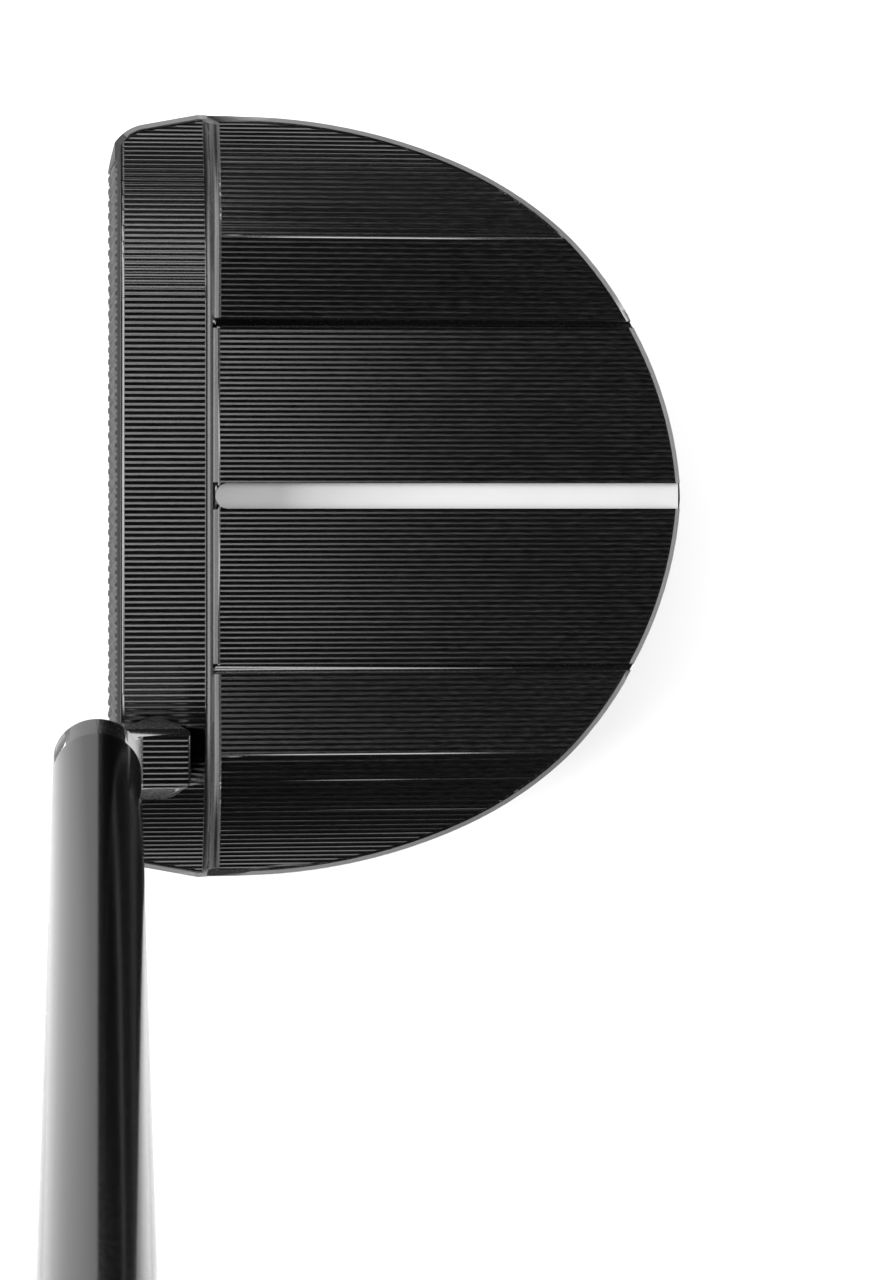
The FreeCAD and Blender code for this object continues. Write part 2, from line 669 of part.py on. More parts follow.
# ---------------------------------------------------------------- assembly
build_head_body()
build_sight_line_paint()
build_damping_pad()
build_sole_plate()
build_sole_plate_screws()
for side_name, side in SIDES.items():
    build_weight(side_name, side)
    build_washer(side_name, side)
build_plumber_neck()
build_neck_bolt()
build_shaft_epoxy()
build_shaft()
build_grip()
doc.recompute()

# ---------------------------------------------------------------- check, then write
for obj in doc.Objects:
    if "Invalid" in obj.State or "Error" in obj.State:
        raise RuntimeError(f"{obj.Name} ({obj.Label}) failed: {obj.State}")
for obj in SUBPARTS:
    if obj.Shape.isNull() or not obj.Shape.isValid():
        raise RuntimeError(f"{obj.Label} has no valid shape")

os.makedirs("parts", exist_ok=True)
for obj in SUBPARTS:
    obj.Shape.exportStep(f"parts/{obj.Label}.step")
    box = obj.Shape.BoundBox
    print(f"{obj.Label:20s} solids {len(obj.Shape.Solids)}  volume {obj.Shape.Volume:9.1f} mm3  "
          f"x {box.XMin:.1f}..{box.XMax:.1f}  y {box.YMin:.1f}..{box.YMax:.1f}  "
          f"z {box.ZMin:.1f}..{box.ZMax:.1f}")
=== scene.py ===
# %% [markdown]
# # A mallet putter, milled, screwed and wrapped
# This lesson dresses a finished engineering model of a golf putter: a black milled mallet head, an
# offset neck, a stepped steel shaft and a foam-cored grip. The engineering model fixes every size
# and place. What is added here is what a machine shop adds to a blank: cutter lines, broken edges,
# black finish, paint. The scene is in metres, X from the face to the rear, Y from heel to toe, and
# the values below are in millimetres unless they say otherwise.

# %% Load the fixed frame
from math import atan2, cos, pi, radians, sin, sqrt, tan

import bpy
from mathutils import Matrix, Vector


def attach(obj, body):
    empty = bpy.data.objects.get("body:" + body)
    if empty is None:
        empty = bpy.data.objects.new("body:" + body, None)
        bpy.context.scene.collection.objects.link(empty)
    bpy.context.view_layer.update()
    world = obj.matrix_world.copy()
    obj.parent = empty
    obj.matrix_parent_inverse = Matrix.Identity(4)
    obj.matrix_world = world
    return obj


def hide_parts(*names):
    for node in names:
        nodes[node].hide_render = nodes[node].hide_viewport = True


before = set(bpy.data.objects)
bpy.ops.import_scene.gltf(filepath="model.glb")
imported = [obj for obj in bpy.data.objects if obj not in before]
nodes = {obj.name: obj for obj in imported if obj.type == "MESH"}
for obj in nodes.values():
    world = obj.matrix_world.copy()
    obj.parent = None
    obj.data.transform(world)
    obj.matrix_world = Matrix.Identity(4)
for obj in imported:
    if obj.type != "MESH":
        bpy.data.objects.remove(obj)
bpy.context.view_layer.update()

print("pieces in the frame:", ", ".join(sorted(nodes)))

# %% [markdown]
# ## The bench: picking things up
# An operator in Blender works on whatever is selected, so each step starts from an empty selection
# and picks its object, faces or edges by place. By hand this is a click or a box drawn round them.
# In a script it is a test on each face's middle and direction, which always picks the same ones.

# %% Select objects, faces, edges and points
MM = 0.001


def nothing_selected():
    bpy.ops.object.select_all(action="DESELECT")


def object_mode():
    bpy.ops.object.mode_set(mode="OBJECT")


def pick(piece):
    """Select one object and nothing else, in object mode."""
    if bpy.context.object and bpy.context.object.mode != "OBJECT":
        object_mode()
    nothing_selected()
    bpy.context.view_layer.objects.active = piece
    piece.select_set(True)
    return piece


def choose(piece, kind, test):
    """Enter edit mode with only the wanted "faces", "edges" or "verts" selected; returns how many."""
    pick(piece)
    mesh = piece.data
    for item in list(mesh.vertices) + list(mesh.edges) + list(mesh.polygons):
        item.select = False
    chosen = 0
    if kind == "faces":
        for face in mesh.polygons:
            face.select = bool(test(face.center, face.normal))
            chosen += face.select
    elif kind == "edges":
        for edge in mesh.edges:
            a, b = (mesh.vertices[i].co for i in edge.vertices)
            edge.select = bool(test(a, b))
            chosen += edge.select
    else:
        for vertex in mesh.vertices:
            vertex.select = bool(test(vertex.co))
            chosen += vertex.select
    bpy.ops.object.mode_set(mode="EDIT")
    bpy.ops.mesh.select_mode(type={"faces": "FACE", "edges": "EDGE", "verts": "VERT"}[kind])
    return chosen


def choose_all(piece):
    """Enter edit mode with every face selected."""
    return choose(piece, "faces", lambda centre, normal: True)


# %% [markdown]
# ## The bench: cutting, cleaning and setting down
# The rest of the bench is what every piece goes through: a name, a cut with another solid, faces
# turned outward, smooth shading up to an angle, and its place put into its mesh at the end. A cut
# is exact, and hands the tool's finish to the fresh faces, as a cutter leaves its own surface.

# %% Name, settle, cut and smooth
def name_it(name):
    piece = bpy.context.object
    piece.name = name
    piece.data.name = name
    return piece


def settle(piece):
    """Put the object's place, turn and size into its mesh."""
    pick(piece)
    bpy.ops.object.transform_apply(location=True, rotation=True, scale=True)
    return piece


def apply_modifiers(piece):
    pick(piece)
    for modifier in list(piece.modifiers):
        bpy.ops.object.modifier_apply(modifier=modifier.name)
    return piece


def cut(piece, tool, how="DIFFERENCE"):
    """Boolean one solid with another, and throw the tool away."""
    before = len(piece.data.polygons)
    boolean = piece.modifiers.new("cut", "BOOLEAN")
    boolean.operation = how
    boolean.solver = "EXACT"
    boolean.material_mode = "TRANSFER"
    boolean.object = tool
    apply_modifiers(piece)
    bpy.data.objects.remove(tool, do_unlink=True)
    print(f"  {piece.name}: {how.lower()}, {before} -> {len(piece.data.polygons)} faces")
    return piece


def faces_outward(piece):
    choose_all(piece)
    bpy.ops.mesh.remove_doubles(threshold=1e-6)
    bpy.ops.mesh.normals_make_consistent(inside=False)
    object_mode()
    return piece


def flip(piece):
    choose_all(piece)
    bpy.ops.mesh.flip_normals()
    object_mode()


def smooth(piece, degrees):
    pick(piece)
    bpy.ops.object.shade_smooth_by_angle(angle=radians(degrees))
    return piece


# %% [markdown]
# ## The bench: a copy to work on
# The frame's own solids must stay as they are, so a piece that needs work starts as a copy. The
# frame stores loose triangles. The copy is merged first, and flat triangles are joined into whole
# faces. The angle for that is tiny, so that only faces which really are flat are joined.

# %% Copy a solid of the frame
MERGE_DISTANCE = 2e-6
FLAT_ENOUGH = radians(0.02)


def copy_of(node_name, piece_name):
    """A merged copy of a frame solid, free of its parent."""
    original = nodes[node_name]
    piece = original.copy()
    piece.data = original.data.copy()
    bpy.context.scene.collection.objects.link(piece)
    place = original.matrix_world.copy()
    piece.parent = None
    piece.matrix_world = place
    piece.name = piece.data.name = piece_name
    settle(piece)
    piece.data.materials.clear()
    choose_all(piece)
    bpy.ops.mesh.remove_doubles(threshold=MERGE_DISTANCE)
    bpy.ops.mesh.dissolve_limited(angle_limit=FLAT_ENOUGH)
    object_mode()
    print(f"  {piece_name}: copy of {node_name}, {len(piece.data.polygons)} faces")
    return piece


# %% [markdown]
# ## Finishes
# Most of what is dark on this putter is metal under a thin black finish: it mirrors its surroundings
# weakly, so it is made as a metal with a very dark colour. Nothing real is perfectly even, so each
# finish varies its colour, its roughness and its surface height a little, with noise read from
# Object coordinates, which stay put when the piece is seen from another side.

# %% A finish made of two kinds of noise
METAL, NOT_METAL = 1.0, 0.0
NOISE_LOW, NOISE_HIGH = 0.3, 0.7


def finish(name, colours, roughness, metallic, noise_sizes, relief, stretch=(1, 1, 1)):
    """Broad patches wander between two colours; a fine grain moves the roughness and the relief."""
    material = bpy.data.materials.new(name)
    material.use_nodes = True
    tree = material.node_tree
    shader = tree.nodes["Principled BSDF"]
    shader.inputs["Metallic"].default_value = metallic
    where = tree.nodes.new("ShaderNodeTexCoord")
    scale = tree.nodes.new("ShaderNodeMapping")
    scale.inputs["Scale"].default_value = stretch
    tree.links.new(where.outputs["Object"], scale.inputs["Vector"])

    def noise(size, detail):
        node = tree.nodes.new("ShaderNodeTexNoise")
        node.inputs["Scale"].default_value = 1 / (size * MM)
        node.inputs["Detail"].default_value = detail
        tree.links.new(scale.outputs["Vector"], node.inputs["Vector"])
        return node.outputs["Fac"]

    patch_size, grain_size = noise_sizes
    patches = noise(patch_size, detail=3)
    grain = noise(grain_size, detail=2)
    mix = tree.nodes.new("ShaderNodeMix")
    mix.data_type = "RGBA"
    mix.inputs["A"].default_value = (*colours[0], 1)
    mix.inputs["B"].default_value = (*colours[1], 1)
    tree.links.new(patches, mix.inputs["Factor"])
    tree.links.new(mix.outputs["Result"], shader.inputs["Base Color"])
    rough = tree.nodes.new("ShaderNodeMapRange")
    rough.inputs["From Min"].default_value = NOISE_LOW
    rough.inputs["From Max"].default_value = NOISE_HIGH
    rough.inputs["To Min"].default_value = roughness[0]
    rough.inputs["To Max"].default_value = roughness[1]
    tree.links.new(grain, rough.inputs["Value"])
    tree.links.new(rough.outputs["Result"], shader.inputs["Roughness"])
    bump = tree.nodes.new("ShaderNodeBump")
    bump.inputs["Strength"].default_value = 1.0
    bump.inputs["Distance"].default_value = relief * MM
    tree.links.new(grain, bump.inputs["Height"])
    tree.links.new(bump.outputs["Normal"], shader.inputs["Normal"])
    return material


def greys(dark, light):
    return (dark, dark, dark), (light, light, light)


def dress(piece, material):
    """Give a piece one finish, in every slot that it has."""
    slots = piece.data.materials
    if len(slots) == 0:
        slots.append(None)
    for index in range(len(slots)):
        slots[index] = material
    return piece


def refinish(piece, material, test):
    """Give another finish to every face that passes test(face, its finish so far)."""
    finishes = list(piece.data.materials)
    if material not in finishes:
        piece.data.materials.append(material)
        finishes.append(material)
    changed = 0
    for face in piece.data.polygons:
        if test(face, finishes[face.material_index]):
            face.material_index = finishes.index(material)
            changed += 1
    print(f"  {piece.name}: {changed} faces in {material.name}")


# %% [markdown]
# ## The finishes of the head
# The head is black anodised. Its flats are satin, and the cutter's troughs are a little brighter
# and brushed along the cut, which is what the stretched noise does. The striking face is blasted
# dull, so it is no mirror at all: it is made as a dark plastic would be, with little gloss. The
# chamfer along the top of the face is made the same way and still darker, nearly black: painted
# shade. The rubbed edges show a bit more metal. The sight line is white paint.

# %% Mix the head's finishes
ALONG_X = (0.15, 1, 1)
black_milled = finish("black_milled", greys(0.075, 0.1), (0.2, 0.28), METAL, (9, 0.25), 0.004)
black_trough = finish("black_trough", greys(0.08, 0.11), (0.17, 0.25), METAL, (9, 0.2), 0.003, ALONG_X)
black_blend = finish("black_blend", greys(0.045, 0.06), (0.26, 0.34), METAL, (6, 0.2), 0.003)
worn_edge = finish("worn_edge", greys(0.1, 0.13), (0.3, 0.4), METAL, (4, 0.2), 0.003)
black_face = finish("black_face", greys(0.012, 0.02), (0.45, 0.55), NOT_METAL, (9, 0.25), 0.004)
# The front edge's nearly black, dull finish is painted shade, darker than that metal would look.
painted_shade_edge = finish("front_edge_painted_shade", greys(0.008, 0.012), (0.4, 0.5), NOT_METAL, (9, 0.25), 0.004)
for material in (black_face, painted_shade_edge):
    material.node_tree.nodes["Principled BSDF"].inputs["Specular IOR Level"].default_value = 0.2
white_paint = finish("white_infill", greys(0.37, 0.42), (0.4, 0.55), NOT_METAL, (6, 0.3), 0.01)
head_finishes = (black_milled, black_trough, black_blend, worn_edge, black_face, painted_shade_edge, white_paint)
print("finishes of the head:", ", ".join(material.name for material in head_finishes))

# %% [markdown]
# ## The finishes of everything else
# The neck is satin and the shaft is glossier, both of black coated steel. The sole's plate, screws
# and weights are darkened metal. The rest is soft or clear: rubber, nylon, glue, paper tape, foam
# and the grip's skin, whose noise is coarser, because rubber takes the texture of its mould.

# %% Mix the other finishes
BRUSHED_X = (0.2, 1, 1)
black_neck = finish("black_neck_satin", greys(0.09, 0.11), (0.2, 0.28), METAL, (9, 0.2), 0.002)
black_shaft = finish("black_shaft_gloss", greys(0.05, 0.06), (0.13, 0.17), METAL, (30, 0.5), 0.0005)
dark_steel = finish("dark_steel", greys(0.1, 0.14), (0.28, 0.4), METAL, (7, 0.2), 0.004, BRUSHED_X)
screw_steel = finish("screw_steel", greys(0.13, 0.18), (0.25, 0.35), METAL, (3, 0.1), 0.003)
weight_metal = finish("weight_tungsten", greys(0.2, 0.26), (0.3, 0.42), METAL, (3, 0.15), 0.004)
nylon = finish("nylon_washer", greys(0.045, 0.06), (0.4, 0.5), NOT_METAL, (3, 0.2), 0.004)
pad_rubber = finish("pad_rubber", greys(0.012, 0.02), (0.6, 0.75), NOT_METAL, (4, 0.3), 0.02)
epoxy = finish("epoxy", ((0.5, 0.42, 0.25), (0.6, 0.5, 0.3)), (0.2, 0.3), NOT_METAL, (3, 0.5), 0.01)
tape = finish("masking_tape", ((0.62, 0.52, 0.33), (0.7, 0.6, 0.4)), (0.7, 0.8), NOT_METAL, (5, 0.3), 0.04)
foam = finish("grip_foam", greys(0.02, 0.035), (0.75, 0.9), NOT_METAL, (6, 0.6), 0.08)
grip_skin = finish("grip_skin", greys(0.018, 0.028), (0.5, 0.62), NOT_METAL, (12, 0.35), 0.03)
grip_trim = finish("grip_trim", greys(0.02, 0.03), (0.35, 0.45), NOT_METAL, (8, 0.4), 0.01)
print("materials in the file, the frame's own among them:", len(bpy.data.materials))

# %% [markdown]
# ## The heights of the head
# The head is shaped by four surfaces: a crowned topline behind the face, a flat panel one ball
# wide, and two wings that step up from the panel, rise to a ridge, then fall away in an arc and
# sink slightly towards the rear. A few short functions give their heights, so that every cutter
# pass, chamfer and pattern can follow the metal exactly.

# %% Height functions
TOPLINE_TOP, TOPLINE_REAR = 25.0, -23.0
PANEL_TOP, WING_FOOT, RIDGE = 15.8, 21.9, 32.0
HEAD_END = 47.0


def crown(y):
    """Topline height: flat, a short bend, then a long arc to each end."""
    flat, bend, slope, arc = 24.0, 16.0, radians(14), 46.0
    y = abs(y)
    turn = flat + bend * sin(slope)
    if y <= flat:
        return TOPLINE_TOP
    if y <= turn:
        return TOPLINE_TOP - bend + sqrt(bend ** 2 - (y - flat) ** 2)
    centre = turn - arc * sin(slope)
    drop = bend * (1 - cos(slope)) + arc * cos(slope) - sqrt(arc ** 2 - (y - centre) ** 2)
    return TOPLINE_TOP - drop


def wing(y):
    """Wing height just behind the topline."""
    step, rise, slope, arc = 2.7, radians(6.4), radians(7), 30.0
    y = abs(y)
    ridge_height = PANEL_TOP + step + (RIDGE - WING_FOOT) * tan(rise)
    if y <= RIDGE:
        return PANEL_TOP + step + (y - WING_FOOT) * tan(rise)
    centre = RIDGE - arc * sin(slope)
    return ridge_height - arc * cos(slope) + sqrt(max(arc ** 2 - (y - centre) ** 2, 0))


def wing_fall(x):
    """How far a wing has sunk by the time it reaches x."""
    return (x - TOPLINE_REAR) * tan(radians(2))


def deck(x, y):
    """Height of the metal behind the topline."""
    return PANEL_TOP if abs(y) < WING_FOOT else wing(y) - wing_fall(x)


def surface(x, y):
    return crown(y) if x < TOPLINE_REAR else deck(x, y)


print("topline at its ends:", round(crown(HEAD_END), 2), " ridge:", round(wing(RIDGE), 2),
      " wing edge:", round(wing(HEAD_END), 2))

# %% [markdown]
# ## The head: from blank to milled mallet
# On the real putter the head starts as a block of aluminium that is milled all over. It could be
# built up again from a box, but the frame's head already has the right outline, steps and holes,
# so a merged copy of it is the blank.

# %% The blank
head = dress(copy_of("head_body", "milled_head"), black_milled)

# %% [markdown]
# ## A plate with the head's outline
# Several tools below have to follow the outline of the head. Drawing it again would risk a second,
# slightly different outline, so the blank is sliced instead: a bisect through the solid, with both
# halves cleared away, leaves only the line of the cut. The neck's hole is in that line too, and is
# deleted before the rest is filled with one face.

# %% Slice the blank into a plate
SLICE_HEIGHT = 11
NECK_HOLE = Vector((-30.2, -31.8)) * MM
HOLE_REACH = 6


def outline_plate():
    """The outline of the head as one flat face that looks up."""
    plate = copy_of("head_body", "outline_plate")
    choose_all(plate)
    bpy.ops.mesh.bisect(plane_co=(0, 0, SLICE_HEIGHT * MM), plane_no=(0, 0, 1), clear_inner=True,
                        clear_outer=True)
    object_mode()
    choose(plate, "verts", lambda point: (point.xy - NECK_HOLE).length < HOLE_REACH * MM)
    bpy.ops.mesh.delete(type="VERT")
    bpy.ops.mesh.select_all(action="SELECT")
    bpy.ops.mesh.remove_doubles(threshold=0.02 * MM)
    bpy.ops.mesh.edge_face_add()
    bpy.ops.mesh.normals_make_consistent(inside=False)
    object_mode()
    if plate.data.polygons[0].normal.z < 0:
        flip(plate)
    return plate


plate = outline_plate()
print("  outline points:", len(plate.data.vertices), " faces:", len(plate.data.polygons))

# %% [markdown]
# ## Cutter passes as one corrugated tool
# A ball-nosed cutter runs along X again and again, a little further over each time, and leaves a
# row of shallow troughs with a sharp crest between neighbours. The rows could be painted on as a
# bump texture, but real troughs catch the light properly from every side, so they are cut for
# real. A row is modelled as the metal that it removes: a grid is laid flat with six faces to a
# pass, pulled up into a slab, and its underside is moved onto the surface, each strip of faces sunk
# to its place in the trough.

# %% A flat grid pulled up into a slab
def grid_slab(name, columns, rows, x_range, y_range):
    """A grid one unit thick, whose points are to be moved onto a surface afterwards."""
    nothing_selected()
    bpy.ops.mesh.primitive_grid_add(x_subdivisions=columns, y_subdivisions=rows, size=1)
    slab = name_it(name)
    slab.scale = (x_range[1] - x_range[0], y_range[1] - y_range[0], 1)
    slab.location = (sum(x_range) / 2, sum(y_range) / 2, 0)
    settle(slab)
    choose_all(slab)
    bpy.ops.mesh.extrude_region_move(TRANSFORM_OT_translate={"value": (0, 0, 1)})
    object_mode()
    return slab


def is_top(lifted):
    """Whether a point of a grid slab belongs to the side that was pulled up."""
    return lifted > 0.5


# %% [markdown]
# ## Stepping over along the slope
# The distance from one pass to the next is measured along the slope, as a machinist steps the
# cutter over, and not in plan. So the height curve is walked in short paces that add up its length,
# and a place on it is looked up by length.

# %% Walk a height curve
def walk(height, low_y, high_y, paces=600):
    """Points (length so far, y, z, slope) along a height curve."""
    path = [(0.0, low_y, height(low_y), 0.0)]
    for pace in range(1, paces + 1):
        length, last_y, last_z, _ = path[-1]
        y = low_y + (high_y - low_y) * pace / paces
        z = height(y)
        rise, run = z - last_z, y - last_y
        path.append((length + sqrt(run ** 2 + rise ** 2), y, z, atan2(rise, run)))
    path[0] = (0.0, low_y, height(low_y), path[1][3])
    return path


def along(path, length):
    """The point of a walk at a length, between the two nearest of its points."""
    step = min(max(int(length / path[-1][0] * (len(path) - 1)), 0), len(path) - 2)
    while step > 0 and path[step][0] > length:
        step -= 1
    while step < len(path) - 2 and path[step + 1][0] < length:
        step += 1
    before, after = path[step], path[step + 1]
    share = (length - before[0]) / max(after[0] - before[0], 1e-9)
    return tuple(p + (q - p) * share for p, q in zip(before, after))


# %% [markdown]
# ## The shape of a trough
# Across a pass the ball leaves an arc of its own radius. Its deepest line is in the middle and its
# crests are half a step away, so the depth is the ball's arc less its height at the crest, plus a
# little sink that keeps even the crests just under the old surface. With no face left lying on
# another, the cut is clean.

# %% Make a corrugated tool
BALL_RADIUS = 0.8
FACES_PER_PASS = 6
CREST_SINK = 0.02
TOOL_HEIGHT = 12


def trough_depth(length, step_over):
    """Depth under the surface at a length along the walk."""
    across = (length / step_over) % 1.0 - 0.5
    if abs(abs(across) - 0.5) < 0.001:
        across = 0.5
    crest = sqrt(BALL_RADIUS ** 2 - (step_over / 2) ** 2)
    return CREST_SINK + sqrt(BALL_RADIUS ** 2 - (across * step_over) ** 2) - crest


def passes(name, x_range, y_range, pitch, height, fall=None):
    """A slab whose underside is a row of cutter passes along X."""
    path = walk(height, *y_range)
    whole_length = path[-1][0]
    count = max(round(whole_length / pitch), 1)
    step_over = whole_length / count
    slab = grid_slab(name, 1, count * FACES_PER_PASS, x_range, (0, whole_length))
    for vertex in slab.data.vertices:
        x, length, lifted = vertex.co
        _, y, z, slope = along(path, length)
        if is_top(lifted):
            vertex.co = Vector((x, y, z + TOOL_HEIGHT)) * MM
        else:
            depth = trough_depth(length, step_over)
            drop = fall(x) if fall else 0.0
            vertex.co = Vector((x, y + depth * sin(slope), z - depth * cos(slope) - drop)) * MM
    faces_outward(slab)
    dress(slab, black_trough)
    print(f"  {name}: {count} passes, {step_over:.3f} mm apart")
    return slab


# %% [markdown]
# ## Stopping short of the rim
# The rows end a little inside the outline, where a narrow plain land follows the edge. The tool is
# a plain rectangle, so it is first trimmed with a tall prism: the outline plate is inset by the
# width of the land, its outer ring is deleted, and what is left is pulled up.

# %% A prism inside the outline
EDGE_MARGIN = 0.85
PRISM_HEIGHT = 40


def inside_outline(margin):
    """A tall prism whose sides lie inside the head's outline by a margin."""
    pick(plate)
    bpy.ops.object.duplicate()
    prism = name_it("pass_limit")
    choose_all(prism)
    bpy.ops.mesh.inset(thickness=margin * MM, use_even_offset=True)
    bpy.ops.mesh.select_all(action="INVERT")
    bpy.ops.mesh.delete(type="FACE")
    bpy.ops.mesh.select_all(action="SELECT")
    bpy.ops.mesh.extrude_region_move(TRANSFORM_OT_translate={"value": (0, 0, PRISM_HEIGHT * MM)})
    bpy.ops.mesh.normals_make_consistent(inside=False)
    object_mode()
    return prism


# %% [markdown]
# ## Mill the topline, the panel and the wings
# Each flat or curved field of the head is milled on its own, with its own step-over. The fields
# stop short of the walls and the ridge between them, which leaves the thin plain lines that part
# one field from the next.

# %% Cut every field of passes
TOPLINE_ROWS_X = (-33.7, -23.94)
DECK_ROWS_X = (-21.75, 40)
ROWS_END_Y = 47.5
PANEL_ROWS_Y = 21.03
TOPLINE_PITCH, PANEL_PITCH, WING_PITCH = 0.705, 0.647, 0.65
WING_FIELDS = {"inner_wing_passes": (22.02, 31.85), "outer_wing_passes": (32.15, ROWS_END_Y)}

fields = [
    passes("topline_passes", TOPLINE_ROWS_X, (-ROWS_END_Y, ROWS_END_Y), TOPLINE_PITCH, crown),
    passes("panel_passes", DECK_ROWS_X, (-PANEL_ROWS_Y, PANEL_ROWS_Y), PANEL_PITCH, lambda y: PANEL_TOP),
]
for side in (1, -1):
    for name, (near_y, far_y) in WING_FIELDS.items():
        rows_y = sorted((side * near_y, side * far_y))
        fields.append(passes(name, DECK_ROWS_X, rows_y, WING_PITCH, wing, wing_fall))
for field in fields:
    cut(field, inside_outline(EDGE_MARGIN), "INTERSECT")
    cut(head, field)

# %% [markdown]
# ## The two soft lines behind the topline
# Behind the topline the metal drops to the deck. The top of that wall is rounded over, and its
# foot runs out in a fillet. Bevelling those edges is quick on a box, but here they follow a crown
# and end on a curved outline, where a bevel shoots past its neighbours. A bent strip is safer: a
# grid with a few faces across, lifted onto the height curve, is pulled up into a cutting slab for
# the round-over, and pulled down into a bar that is joined on for the fillet.

# %% A strip bent to a height function
STRIP_COLUMNS, STRIP_ROWS = 6, 160


def bent_strip(name, x_range, y_range, height, pull):
    """A strip whose face follows height(x, y), pulled up or down into a solid."""
    strip = grid_slab(name, STRIP_COLUMNS, STRIP_ROWS, x_range, y_range)
    for vertex in strip.data.vertices:
        x, y, lifted = vertex.co
        vertex.co = Vector((x, y, height(x, y) + (pull if is_top(lifted) else 0))) * MM
    return dress(faces_outward(strip), black_blend)


# %% Round the top edge
ROUND = 0.9
ROUND_OVER_X = (TOPLINE_REAR - ROUND, TOPLINE_REAR + 0.25)
ROUND_OVER_Y = (-47.7, 47.7)
PULL_UP, PULL_DOWN = 8, -3


def rounded_top(x, y):
    inward = min(max(x - (TOPLINE_REAR - ROUND), 0), ROUND)
    return crown(y) - ROUND + sqrt(ROUND ** 2 - inward ** 2)


cut(head, bent_strip("round_over", ROUND_OVER_X, ROUND_OVER_Y, rounded_top, PULL_UP))

# %% Fill the foot between the sight line, the grooves and the outline
FILLET = 1.02
FILLET_BAR_X = (TOPLINE_REAR - 0.5, TOPLINE_REAR + FILLET)
FOOT_SPANS_Y = ((-20.9, -1.7), (1.7, 20.9), (22, 46.6), (-46.6, -22))


def filled_foot(x, y):
    away = min(max(TOPLINE_REAR + FILLET - x, 0), FILLET)
    return deck(x, y) + FILLET - sqrt(FILLET ** 2 - away ** 2)


for span_y in FOOT_SPANS_Y:
    cut(head, bent_strip("fillet_bar", FILLET_BAR_X, span_y, filled_foot, PULL_DOWN), "UNION")

# %% [markdown]
# ## The broken edge
# Every milled edge on the real head is broken by a narrow chamfer, which is worn bright and draws
# a thin light line round the whole outline. Bevelling the edge would be the usual way, but here the
# edge runs over steps, ridges and a crown. So a ring is made from the outline plate instead: its
# inner side lies on the metal, its outer side hangs below the edge, and the ring cuts the corner.
# The ring needs a point on each side of every jump in height, so the plate is bisected there first.

# %% A flat ring with a point wherever the height jumps
CHAMFER_WIDTH, CHAMFER_DEPTH, CHAMFER_OVERHANG = 0.65, 0.6, 0.4
GROOVE_WALL = 21.14
HAIR = 0.02
JUMPS_Y = (WING_FOOT - HAIR, WING_FOOT + HAIR, GROOVE_WALL, RIDGE)
JUMPS_X = (TOPLINE_REAR + HAIR, TOPLINE_REAR - HAIR)


def flat_ring(width):
    """The outline as a ring, and which inner point each outer point is tied to."""
    ring = plate.copy()
    ring.data = plate.data.copy()
    bpy.context.scene.collection.objects.link(ring)
    ring.name = ring.data.name = "rim_ring"
    for jump in JUMPS_Y:
        for side in (1, -1):
            choose_all(ring)
            bpy.ops.mesh.bisect(plane_co=(0, side * jump * MM, 0), plane_no=(0, 1, 0))
    for jump in JUMPS_X:
        choose_all(ring)
        bpy.ops.mesh.bisect(plane_co=(jump * MM, 0, 0), plane_no=(1, 0, 0))
    bpy.ops.mesh.select_all(action="SELECT")
    bpy.ops.mesh.dissolve_limited(angle_limit=radians(1), use_dissolve_boundaries=False)
    object_mode()
    outer_count = len(ring.data.vertices)
    choose_all(ring)
    bpy.ops.mesh.inset(thickness=width * MM, use_even_offset=True)
    bpy.ops.mesh.delete(type="FACE")
    object_mode()
    inner_of = {}
    for edge in ring.data.edges:
        low, high = sorted(edge.vertices)
        if low < outer_count <= high:
            inner_of[low] = high
    print("  rim points:", outer_count, " rungs:", len(inner_of))
    return ring, inner_of


# %% [markdown]
# ## Hang the ring on the edge
# The inner points go onto the metal. The outer ones go past the edge and below it, on the line of
# the chamfer. Along the face both move back a little, because the face leans by its loft and the
# plate was sliced lower down. Where the chamfer meets the face it gets a nearly black, dull finish:
# painted shade.

# %% Cut the rim chamfer
LOFT = radians(3)
FRONT_POINTS_X, FRONT_CHAMFER_X = -33.9, -33.6
RING_HEIGHT = 14


def rim_ring():
    ring, inner_of = flat_ring(CHAMFER_WIDTH)
    points = ring.data.vertices
    past_edge = CHAMFER_OVERHANG / CHAMFER_WIDTH
    drop = CHAMFER_DEPTH * (1 + past_edge)
    spots = {}
    for outer, inner in inner_of.items():
        edge_point, metal_point = points[outer].co, points[inner].co
        outside = edge_point + (edge_point - metal_point) * past_edge
        x, y = edge_point.x / MM, edge_point.y / MM
        height = surface(x, y)
        lean = (height - SLICE_HEIGHT) * tan(LOFT) * MM if x < FRONT_POINTS_X else 0
        metal_height = surface(metal_point.x / MM, metal_point.y / MM)
        spots[outer] = Vector((outside.x + lean, outside.y, (height - drop) * MM))
        spots[inner] = Vector((metal_point.x + lean, metal_point.y, metal_height * MM))
    for index, spot in spots.items():
        points[index].co = spot
    choose_all(ring)
    bpy.ops.mesh.extrude_region_move(TRANSFORM_OT_translate={"value": (0, 0, RING_HEIGHT * MM)})
    bpy.ops.mesh.normals_make_consistent(inside=False)
    object_mode()
    return dress(ring, worn_edge)


cut(head, rim_ring())
bpy.data.objects.remove(plate, do_unlink=True)
# The chamfer faces along the top of the face get the nearly black finish: painted shade.
refinish(head, painted_shade_edge, lambda face, now: now == worn_edge and face.center.x < FRONT_CHAMFER_X * MM)

# %% [markdown]
# ## The striking face
# The face is milled with a wide fly cutter, whose single tip sweeps in big arcs. It is run once in
# each direction, so two families of arcs cross, and leave small raised leaves between the grooves.
# More than a hundred arcs would be slow to cut one by one. One fine grid does it in a single cut:
# every point of it is sunk by the deeper of the two families' grooves at that point.

# %% How deep the fly cutter went
ARC_SPACING, ARC_RADIUS, ARC_MIDDLE = 1.57, 38.0, 12.0
GROOVE_HALF_WIDTH, GROOVE_DEPTH = 0.32, 0.3


